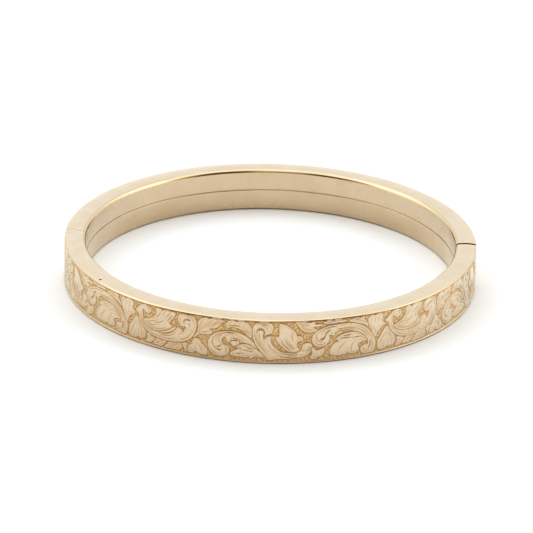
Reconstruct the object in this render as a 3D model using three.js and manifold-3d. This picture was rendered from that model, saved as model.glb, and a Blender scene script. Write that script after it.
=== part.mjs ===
// Hinged hollow bangle bracelet, in millimetres, +Z up.
// The ring stands on z = 0 with its centre on the Z axis. The front half (y < 0) carries the
// tongue, the back half (y > 0) the catch. The hinge is at -X and the clasp at +X.

import * as THREE from "three";
import { mergeVertices } from "three/addons/utils/BufferGeometryUtils.js";
import Module from "manifold-3d";

const wasm = await Module();
wasm.setup();

// Driving dimensions.
const OUTER_RADIUS = 32;
const WALL_DEPTH = 3.3; // from the worn surface to the outside
const HEIGHT = 7;
const SHEET = 0.45; // thickness of the folded metal
const OUTER_CORNER = 0.25;
const INNER_CORNER = 0.5;
const SPLIT_GAP = 0.1; // between the two halves, at hinge and clasp
const FIT_GAP = 0.03; // round a piece that is soldered in place
const RING_STEPS = 120;
const CORNER_STEPS = 2;

const SEAM_WIDTH = 0.2;
const SEAM_SOLDERED_LENGTH = 3.5; // closed stretch of the seam next to each end
const VENT_RADIUS = 0.15;
const VENT_ANGLE = 217;
const VENT_INSET = 0.7; // from the outside of the band

const BARREL_RADIUS = 0.85;
const BARREL_CLEARANCE = 0.05;
const PIN_RADIUS = 0.35;
const PIN_CLEARANCE = 0.03;
const KNUCKLES = 5;
const KNUCKLE_GAP = 0.06;
const HINGE_PLATE_DEPTH = 1.5;
const HINGE_RELIEF_ANGLE = 31; // each half is cut back this far, for 60 degrees of opening
const ROUND_SIDES = 32;

const CLASP_PLATE_DEPTH = 0.8;
const LEAF = 0.3; // thickness of the tongue's strip
const TONGUE_WIDTH = 2.8;
const TONGUE_LENGTH = 4.5; // from the split to the fold
const TONGUE_ROOT = 1.6; // part of the tongue inside the front half
const TONGUE_INSET = 0.8; // from the worn surface to the fixed leaf
const FOLD_RADIUS = 0.1; // inside of the fold
const TONGUE_SPREAD = 0.95; // how far the sprung leaf stands off at its free end
const CATCH_ENGAGEMENT = 0.4; // how far the free end reaches behind the catch plate
const RUNNING_GAP = 0.1; // between the tongue and what it slides in
const PUSH_WIDTH = 1.2;
const PUSH_LENGTH = 2.3;
const PUSH_SETBACK = 0.25; // from the split, so that it clears the front half when pressed
const PUSH_PROUD = 0.06;
const PUSH_GAP = 0.08;
const PUSH_GROOVES = 3;
const PUSH_GROOVE_SIZE = 0.16;
const CATCH_BOX_LENGTH = 4.4;
const CATCH_BOX_WALL = 0.2;

// Sizes that follow from them.
const INNER_RADIUS = OUTER_RADIUS - WALL_DEPTH;
const CAVITY_INNER = INNER_RADIUS + SHEET;
const CAVITY_OUTER = OUTER_RADIUS - SHEET;
const MID_HEIGHT = HEIGHT / 2;
const HALF_GAP = SPLIT_GAP / 2;
const HINGE_X = BARREL_RADIUS - OUTER_RADIUS;
const KNUCKLE_HEIGHT = (HEIGHT - (KNUCKLES - 1) * KNUCKLE_GAP) / KNUCKLES;
const FIXED_LEAF_X = INNER_RADIUS + TONGUE_INSET;
const FOLD_X = FIXED_LEAF_X + LEAF + FOLD_RADIUS;
const SPRUNG_ROOT_X = FOLD_X + FOLD_RADIUS;
const SPRUNG_ROOT_Y = TONGUE_LENGTH - PUSH_GAP;
const SPRUNG_TIP_Y = HALF_GAP + CLASP_PLATE_DEPTH + RUNNING_GAP;
const SPRUNG_TIP_X = SPRUNG_ROOT_X + TONGUE_SPREAD;
const SLOT_OUTER_X = SPRUNG_TIP_X + LEAF - CATCH_ENGAGEMENT;
const REACH = 2 * OUTER_RADIUS; // larger than the bangle, for cutting blocks

// Between three.js geometry and manifold solids.
function solidOf(geometry) {
  geometry.deleteAttribute("normal");
  geometry.deleteAttribute("uv");
  const merged = mergeVertices(geometry, 1e-4);
  return new wasm.Manifold(
    new wasm.Mesh({
      numProp: 3,
      vertProperties: new Float32Array(merged.attributes.position.array),
      triVerts: new Uint32Array(merged.index.array),
    }),
  );
}

function geometryOf(solid) {
  const mesh = solid.getMesh();
  const geometry = new THREE.BufferGeometry();
  geometry.setAttribute("position", new THREE.BufferAttribute(mesh.vertProperties, 3));
  geometry.setIndex(new THREE.BufferAttribute(mesh.triVerts, 1));
  return geometry;
}

// Basic shapes, each a manifold solid.
function block(x0, x1, y0, y1, z0, z1) {
  const geometry = new THREE.BoxGeometry(x1 - x0, y1 - y0, z1 - z0);
  geometry.translate((x0 + x1) / 2, (y0 + y1) / 2, (z0 + z1) / 2);
  return solidOf(geometry);
}

function post(radius, x, y, z0, z1, sides = ROUND_SIDES) {
  const geometry = new THREE.CylinderGeometry(radius, radius, z1 - z0, sides);
  geometry.rotateX(Math.PI / 2);
  geometry.translate(x, y, (z0 + z1) / 2);
  return solidOf(geometry);
}

function prism(outline, z0, z1) {
  const geometry = new THREE.ExtrudeGeometry(new THREE.Shape(outline), {
    depth: z1 - z0,
    bevelEnabled: false,
  });
  geometry.translate(0, 0, z0);
  return solidOf(geometry);
}

function ring(profile) {
  const geometry = new THREE.LatheGeometry([...profile, profile[0]], RING_STEPS);
  geometry.rotateX(Math.PI / 2);
  return solidOf(geometry);
}

// A section of the band: rounded corners, with the worn side's radius and the outer side's.
function section(r0, r1, z0, z1, innerCorner, outerCorner) {
  const path = new THREE.Path();
  const quarter = Math.PI / 2;
  path.absarc(r1 - outerCorner, z0 + outerCorner, outerCorner, -quarter, 0);
  path.absarc(r1 - outerCorner, z1 - outerCorner, outerCorner, 0, quarter);
  path.absarc(r0 + innerCorner, z1 - innerCorner, innerCorner, quarter, 2 * quarter);
  path.absarc(r0 + innerCorner, z0 + innerCorner, innerCorner, 2 * quarter, 3 * quarter);
  return path.getPoints(CORNER_STEPS);
}

function cavitySection(gap) {
  return [
    new THREE.Vector2(CAVITY_INNER + gap, SHEET + gap),
    new THREE.Vector2(CAVITY_OUTER - gap, SHEET + gap),
    new THREE.Vector2(CAVITY_OUTER - gap, HEIGHT - SHEET - gap),
    new THREE.Vector2(CAVITY_INNER + gap, HEIGHT - SHEET - gap),
  ];
}

const bandSection = section(INNER_RADIUS, OUTER_RADIUS, 0, HEIGHT, INNER_CORNER, OUTER_CORNER);
const tube = ring(bandSection).subtract(ring(cavitySection(0)));
const tubeFilling = ring(cavitySection(FIT_GAP));

// side is -1 for the front half and 1 for the back half.
function halfSpace(side, distance) {
  const near = side * distance;
  const far = side * REACH;
  return block(-REACH, REACH, Math.min(near, far), Math.max(near, far), -HEIGHT, 2 * HEIGHT);
}

// What the turning barrel needs, and the wedge outside it that lets the halves swing apart.
function hingeRelief(side) {
  const flare = REACH * Math.tan(THREE.MathUtils.degToRad(HINGE_RELIEF_ANGLE));
  const wedge = prism(
    [
      new THREE.Vector2(HINGE_X, 0),
      new THREE.Vector2(HINGE_X - REACH, side > 0 ? flare : 0),
      new THREE.Vector2(HINGE_X - REACH, side > 0 ? 0 : -flare),
    ],
    -HEIGHT,
    2 * HEIGHT,
  );
  return post(BARREL_RADIUS + BARREL_CLEARANCE, HINGE_X, 0, -HEIGHT, 2 * HEIGHT).add(wedge);
}

// The open seam in the middle of the worn wall, away from the soldered stretches at the ends.
function seam(side) {
  const slot = ring([
    new THREE.Vector2(INNER_RADIUS - SHEET, MID_HEIGHT - SEAM_WIDTH / 2),
    new THREE.Vector2(CAVITY_INNER + SHEET, MID_HEIGHT - SEAM_WIDTH / 2),
    new THREE.Vector2(CAVITY_INNER + SHEET, MID_HEIGHT + SEAM_WIDTH / 2),
    new THREE.Vector2(INNER_RADIUS - SHEET, MID_HEIGHT + SEAM_WIDTH / 2),
  ]);
  return slot.intersect(halfSpace(side, SEAM_SOLDERED_LENGTH));
}

function vent() {
  const angle = THREE.MathUtils.degToRad(VENT_ANGLE);
  const radius = OUTER_RADIUS - VENT_INSET;
  const x = radius * Math.cos(angle);
  const y = radius * Math.sin(angle);
  return post(VENT_RADIUS, x, y, HEIGHT - 2 * SHEET, 2 * HEIGHT, 12);
}

function pushNotch() {
  const halfWidth = PUSH_WIDTH / 2 + PUSH_GAP;
  const depth = HALF_GAP + PUSH_SETBACK + PUSH_LENGTH + PUSH_GAP;
  return block(SLOT_OUTER_X, REACH, 0, depth, MID_HEIGHT - halfWidth, MID_HEIGHT + halfWidth);
}

function frontBandShell() {
  const half = tube.intersect(halfSpace(-1, HALF_GAP));
  return half.subtract(hingeRelief(-1)).subtract(seam(-1)).subtract(vent());
}

function backBandShell() {
  const half = tube.intersect(halfSpace(1, HALF_GAP));
  return half.subtract(hingeRelief(1)).subtract(seam(1)).subtract(pushNotch());
}

// A stretch of the tube's filling that starts at the split.
function plug(side, xSign, depth) {
  const x0 = xSign > 0 ? 0 : -REACH;
  const x1 = xSign > 0 ? REACH : 0;
  const near = side * HALF_GAP;
  const far = side * (HALF_GAP + depth);
  return tubeFilling.intersect(
    block(x0, x1, Math.min(near, far), Math.max(near, far), -HEIGHT, 2 * HEIGHT),
  );
}

function hingePlate(side) {
  return plug(side, -1, HINGE_PLATE_DEPTH).subtract(hingeRelief(side));
}

function knuckle(index) {
  const z0 = index * (KNUCKLE_HEIGHT + KNUCKLE_GAP);
  const z1 = z0 + KNUCKLE_HEIGHT;
  const hole = post(PIN_RADIUS + PIN_CLEARANCE, HINGE_X, 0, z0 - 1, z1 + 1);
  return post(BARREL_RADIUS, HINGE_X, 0, z0, z1).subtract(hole);
}

function hingePin() {
  return post(PIN_RADIUS, HINGE_X, 0, 0, HEIGHT);
}

// Across the tongue: the strip's width with a gap all round.
function tongueSlot(x0, x1, gap) {
  const halfWidth = TONGUE_WIDTH / 2 + gap;
  return block(x0, x1, -REACH, REACH, MID_HEIGHT - halfWidth, MID_HEIGHT + halfWidth);
}

function frontClaspPlate() {
  const slot = tongueSlot(FIXED_LEAF_X - FIT_GAP, FIXED_LEAF_X + LEAF + FIT_GAP, FIT_GAP);
  return plug(-1, 1, CLASP_PLATE_DEPTH).subtract(slot);
}

function catchPlate() {
  const slot = tongueSlot(FIXED_LEAF_X - RUNNING_GAP, SLOT_OUTER_X, RUNNING_GAP);
  return plug(1, 1, CLASP_PLATE_DEPTH).subtract(slot).subtract(pushNotch());
}

function catchBox() {
  const y0 = HALF_GAP + CLASP_PLATE_DEPTH + FIT_GAP;
  const y1 = y0 + CATCH_BOX_LENGTH;
  const x0 = FIXED_LEAF_X - RUNNING_GAP - CATCH_BOX_WALL;
  const x1 = SPRUNG_TIP_X;
  const halfInside = TONGUE_WIDTH / 2 + 2 * RUNNING_GAP;
  const halfOutside = halfInside + CATCH_BOX_WALL;
  const outside = block(x0, x1, y0, y1, MID_HEIGHT - halfOutside, MID_HEIGHT + halfOutside);
  const inside = block(
    x0 + CATCH_BOX_WALL,
    REACH,
    -REACH,
    REACH,
    MID_HEIGHT - halfInside,
    MID_HEIGHT + halfInside,
  );
  return outside.subtract(inside);
}

// The fixed leaf ends in the fold, a half turn towards the outside of the bangle.
function tongueFixedLeaf() {
  const outline = new THREE.Path();
  const turn = FOLD_RADIUS + LEAF;
  outline.moveTo(FIXED_LEAF_X, -TONGUE_ROOT);
  outline.lineTo(FIXED_LEAF_X + LEAF, -TONGUE_ROOT);
  outline.lineTo(FIXED_LEAF_X + LEAF, TONGUE_LENGTH);
  outline.absarc(FOLD_X, TONGUE_LENGTH, FOLD_RADIUS, Math.PI, 0, true);
  outline.lineTo(FOLD_X + turn, TONGUE_LENGTH);
  outline.absarc(FOLD_X, TONGUE_LENGTH, turn, 0, Math.PI, false);
  const halfWidth = TONGUE_WIDTH / 2;
  return prism(outline.getPoints(4), MID_HEIGHT - halfWidth, MID_HEIGHT + halfWidth);
}

// The sprung leaf's square end is what catches behind the plate.
function tongueSprungLeaf() {
  const halfWidth = TONGUE_WIDTH / 2;
  const outline = [
    new THREE.Vector2(SPRUNG_ROOT_X, SPRUNG_ROOT_Y),
    new THREE.Vector2(SPRUNG_TIP_X, SPRUNG_TIP_Y),
    new THREE.Vector2(SPRUNG_TIP_X + LEAF, SPRUNG_TIP_Y),
    new THREE.Vector2(SPRUNG_ROOT_X + LEAF, SPRUNG_ROOT_Y),
  ];
  return prism(outline, MID_HEIGHT - halfWidth, MID_HEIGHT + halfWidth);
}

// The push piece stands on the sprung leaf and fills the notch in the outer wall.
function pushPiece() {
  const y0 = HALF_GAP + PUSH_SETBACK;
  const y1 = y0 + PUSH_LENGTH;
  const slope = TONGUE_SPREAD / (SPRUNG_ROOT_Y - SPRUNG_TIP_Y);
  const leafOutside = (y) => SPRUNG_TIP_X + LEAF + FIT_GAP - slope * (y - SPRUNG_TIP_Y);
  const radius = OUTER_RADIUS + PUSH_PROUD;
  const outline = new THREE.Path();
  outline.moveTo(leafOutside(SPRUNG_TIP_Y), y0);
  outline.absarc(0, 0, radius, Math.asin(y0 / radius), Math.asin(y1 / radius), false);
  outline.lineTo(leafOutside(y1), y1);
  outline.lineTo(leafOutside(SPRUNG_TIP_Y), SPRUNG_TIP_Y);
  const z0 = MID_HEIGHT - PUSH_WIDTH / 2;
  const z1 = MID_HEIGHT + PUSH_WIDTH / 2;
  let piece = prism(outline.getPoints(CORNER_STEPS), z0, z1);
  const pitch = PUSH_LENGTH / (PUSH_GROOVES + 1);
  for (let index = 1; index <= PUSH_GROOVES; index += 1) {
    const y = y0 + index * pitch;
    const half = PUSH_GROOVE_SIZE / 2;
    piece = piece.subtract(
      block(OUTER_RADIUS - PUSH_GROOVE_SIZE, REACH, y - half, y + half, -HEIGHT, 2 * HEIGHT),
    );
  }
  return piece;
}

// Materials: one pale gold sheet, its plainer solder-fitted pieces, and the harder spring strip.
const sheetGold = new THREE.MeshStandardMaterial({
  color: 0xe6cfa4,
  roughness: 0.35,
  metalness: 1,
});
const fittedGold = new THREE.MeshStandardMaterial({
  color: 0xd9bb86,
  roughness: 0.45,
  metalness: 1,
});
const springGold = new THREE.MeshStandardMaterial({
  color: 0xcfae72,
  roughness: 0.3,
  metalness: 1,
});

function piece(name, solid, material) {
  const mesh = new THREE.Mesh(geometryOf(solid), material);
  mesh.name = name;
  return mesh;
}

const frontHalf = new THREE.Group();
frontHalf.add(piece("front_band_shell", frontBandShell(), sheetGold));
frontHalf.add(piece("front_hinge_plate", hingePlate(-1), fittedGold));
frontHalf.add(piece("front_clasp_plate", frontClaspPlate(), fittedGold));
frontHalf.add(piece("front_knuckle_lower", knuckle(1), fittedGold));
frontHalf.add(piece("front_knuckle_upper", knuckle(3), fittedGold));
frontHalf.add(piece("tongue_fixed_leaf", tongueFixedLeaf(), springGold));

const backHalf = new THREE.Group();
backHalf.add(piece("back_band_shell", backBandShell(), sheetGold));
backHalf.add(piece("back_hinge_plate", hingePlate(1), fittedGold));
backHalf.add(piece("catch_plate", catchPlate(), fittedGold));
backHalf.add(piece("catch_box", catchBox(), fittedGold));
backHalf.add(piece("back_knuckle_bottom", knuckle(0), fittedGold));
backHalf.add(piece("back_knuckle_middle", knuckle(2), fittedGold));
backHalf.add(piece("back_knuckle_top", knuckle(4), fittedGold));
backHalf.add(piece("hinge_pin", hingePin(), springGold));

const sprungTongue = new THREE.Group();
sprungTongue.add(piece("tongue_sprung_leaf", tongueSprungLeaf(), springGold));
sprungTongue.add(piece("push_piece", pushPiece(), springGold));

const bangle = new THREE.Group();
bangle.add(frontHalf, backHalf, sprungTongue);

export default bangle;
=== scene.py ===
# Looks of the hinged bangle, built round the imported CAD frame.
# Lengths are worked out in millimetres, in the row frame, and turned into metres by MM.
# "along" is the distance round the outside of a half from its hinge end, "up" the height.

import math

import bmesh
import bpy
import numpy as np
from mathutils import Matrix, Vector


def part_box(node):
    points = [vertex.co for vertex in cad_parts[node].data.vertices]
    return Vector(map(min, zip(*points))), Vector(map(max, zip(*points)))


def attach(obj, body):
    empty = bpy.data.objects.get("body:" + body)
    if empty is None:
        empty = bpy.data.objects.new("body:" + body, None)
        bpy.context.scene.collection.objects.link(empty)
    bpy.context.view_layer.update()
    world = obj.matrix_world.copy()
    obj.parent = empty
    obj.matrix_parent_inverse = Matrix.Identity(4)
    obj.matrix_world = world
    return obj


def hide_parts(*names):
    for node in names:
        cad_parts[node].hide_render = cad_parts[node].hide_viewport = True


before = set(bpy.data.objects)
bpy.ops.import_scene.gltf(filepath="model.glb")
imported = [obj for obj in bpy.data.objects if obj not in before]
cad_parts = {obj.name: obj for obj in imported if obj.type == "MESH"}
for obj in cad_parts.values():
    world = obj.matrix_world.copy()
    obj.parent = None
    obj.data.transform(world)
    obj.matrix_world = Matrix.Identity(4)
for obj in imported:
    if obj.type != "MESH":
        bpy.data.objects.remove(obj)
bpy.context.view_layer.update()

MM = 0.001

# Sizes, in millimetres. The outline and the pin are read from the frame, the wall and the sheet
# are the CAD design's, and the corners, gaps and arches are set from the photograph.
SHELL_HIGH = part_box("front_band_shell")[1]
OUTER_RADIUS = SHELL_HIGH.x / MM
HEIGHT = SHELL_HIGH.z / MM
WALL_DEPTH = 3.3
SHEET = 0.45
OUTER_CORNER = 0.22
INNER_CORNER = 0.5
HINGE_GAP = 0.02
CLASP_GAP = 0.27
INNER_RADIUS = OUTER_RADIUS - WALL_DEPTH
CAVITY_INNER = INNER_RADIUS + SHEET
CAVITY_OUTER = OUTER_RADIUS - SHEET
HALF_LENGTH = math.pi * OUTER_RADIUS
PIN_LOW, PIN_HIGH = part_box("hinge_pin")
HINGE_X = (PIN_LOW.x + PIN_HIGH.x) / 2 / MM
PIN_RADIUS = (PIN_HIGH.x - PIN_LOW.x) / 2 / MM
BARREL_RADIUS = OUTER_RADIUS + HINGE_X
RELIEF_RADIUS = BARREL_RADIUS + 0.02
RELIEF_TAN = math.tan(math.radians(31))
SEAM_HEIGHT = HEIGHT / 2
TOP_CROWN = 0.1
CLASP_DOME = 0.9
ENGRAVING_DEPTH = 0.13

KNUCKLES_BY_BODY = {
    "front": ["front_knuckle_lower", "front_knuckle_upper"],
    "back": ["back_knuckle_bottom", "back_knuckle_middle", "back_knuckle_top"],
}


# Camera: the photograph's angle, a long lens, aimed a little above and left of the origin.
CAMERA_DISTANCE = 0.494
CAMERA_AZIMUTH = math.radians(1.2)
CAMERA_ELEVATION = math.radians(23.2)
CAMERA_ROLL = math.radians(1.415)
LENS = 213.5
AIM_RIGHT = -0.527
AIM_UP = 1.82


def add_camera():
    data = bpy.data.cameras.new("camera")
    data.lens = LENS
    data.sensor_width = 36
    data.clip_start = 0.01
    data.clip_end = 20
    camera = bpy.data.objects.new("camera", data)
    bpy.context.scene.collection.objects.link(camera)
    back = Vector((0, -math.cos(CAMERA_ELEVATION), math.sin(CAMERA_ELEVATION)))
    back.rotate(Matrix.Rotation(CAMERA_AZIMUTH, 3, "Z"))
    right = Vector((math.cos(CAMERA_AZIMUTH), math.sin(CAMERA_AZIMUTH), 0))
    up = back.cross(right)
    place = back * CAMERA_DISTANCE
    aim = right * AIM_RIGHT * MM + up * AIM_UP * MM
    look = (aim - place).normalized()
    level = look.to_track_quat("-Z", "Y").to_matrix().to_4x4()
    camera.matrix_world = Matrix.Translation(place) @ level @ Matrix.Rotation(CAMERA_ROLL, 4, "Z")
    bpy.context.scene.camera = camera


add_camera()


# The engraved ornament of the front half: scrolls and leaves that repeat round the band.
# Outlines are closed curves through a few points, (along, up), and each hides what is under it.
REPEAT = 39.6
START = 0.67
FIRST_REPEAT = -1
REPEATS = 3
BORDER_LOW = 0.34
BORDER_HIGH = 6.8
TOP_DARK_REFLECTION_LOW = 6.64
SPREAD = 0.13
EDGE = 0.1
MOAT = 0.08
LINE_WIDTH = 0.068
CONTOUR = 0.33
CONTOUR_LEVEL = 0.4
CONTOUR_WIDTH = 0.045
EDGE_SHARE = 0.86
PILLOW = 0.6
CUT_REACH = 0.3
CUT_STRENGTH_MOST = 0.85
PUNCH_STRENGTH = 0.6
TOP_DARK_REFLECTION_STRENGTH = 0.9
SOFTNESS = 0.08

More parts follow.
